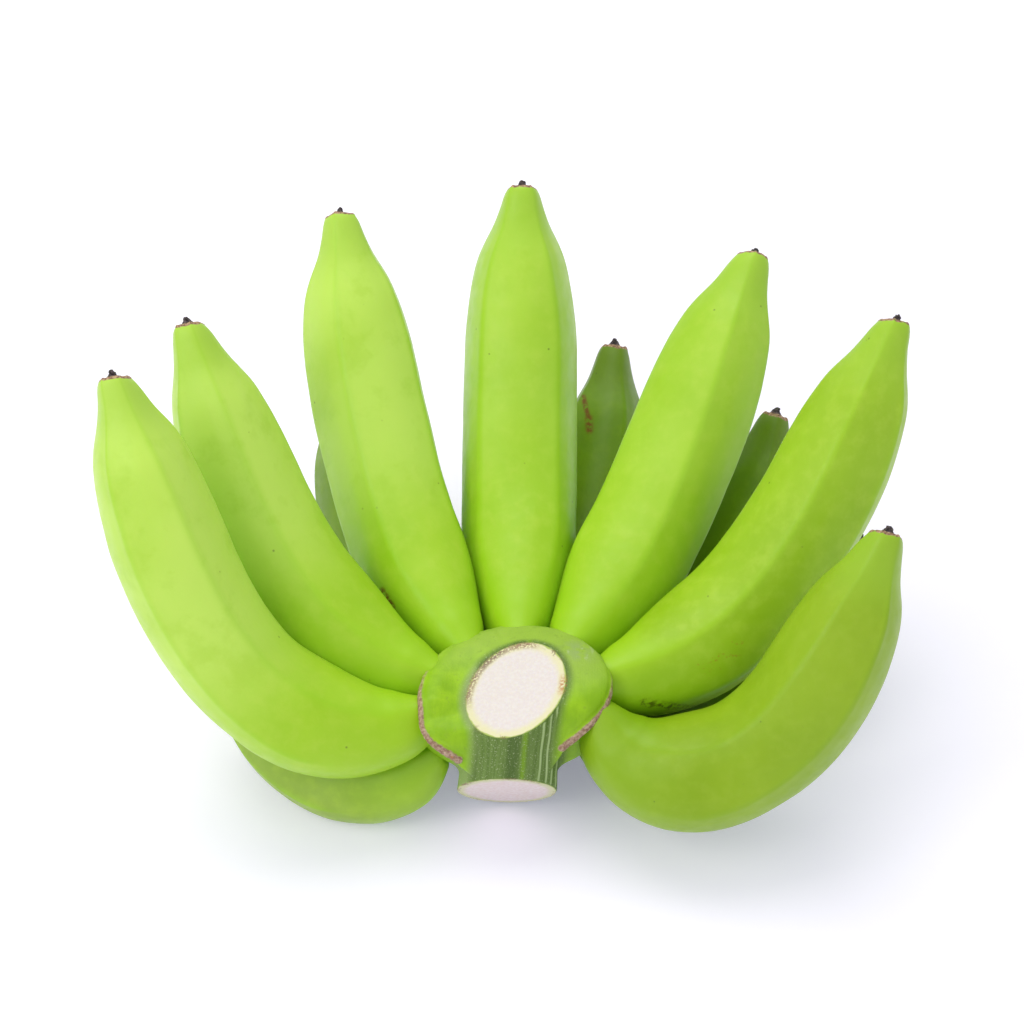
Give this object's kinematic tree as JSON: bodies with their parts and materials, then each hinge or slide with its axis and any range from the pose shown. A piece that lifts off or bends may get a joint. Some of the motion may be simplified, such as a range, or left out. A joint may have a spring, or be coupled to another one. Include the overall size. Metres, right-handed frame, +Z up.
{
  "type": "hand of plantains",
  "caption": "Hand of unripe green cooking bananas: curved ridged fingers in an upper and a lower row round a short cut piece of stalk, lying on a table with the open side to the front.",
  "frame": {"origin": "on the table, under the middle of the hand's bounding box", "axes": "+Z up from the table, +X to the right as seen from the open side of the hand, +Y to the back, where the long upper fingers point; the open side with the cut stalk faces -Y"},
  "size_m": [0.2928, 0.2264, 0.1767],
  "materials": {
    "peel": "waxy satin green peel",
    "crown": "matt green stalk with pale cut faces"
  },
  "bodies": {
    "root": {"crown": "crown", "finger_upper_1": "peel", "finger_upper_2": "peel", "finger_upper_3": "peel", "finger_upper_4": "peel", "finger_upper_5": "peel", "finger_upper_6": "peel", "finger_upper_7": "peel", "finger_lower_1": "peel", "finger_lower_2": "peel", "finger_lower_3": "peel", "finger_lower_4": "peel", "finger_lower_5": "peel"}
  },
  "joints": []
}
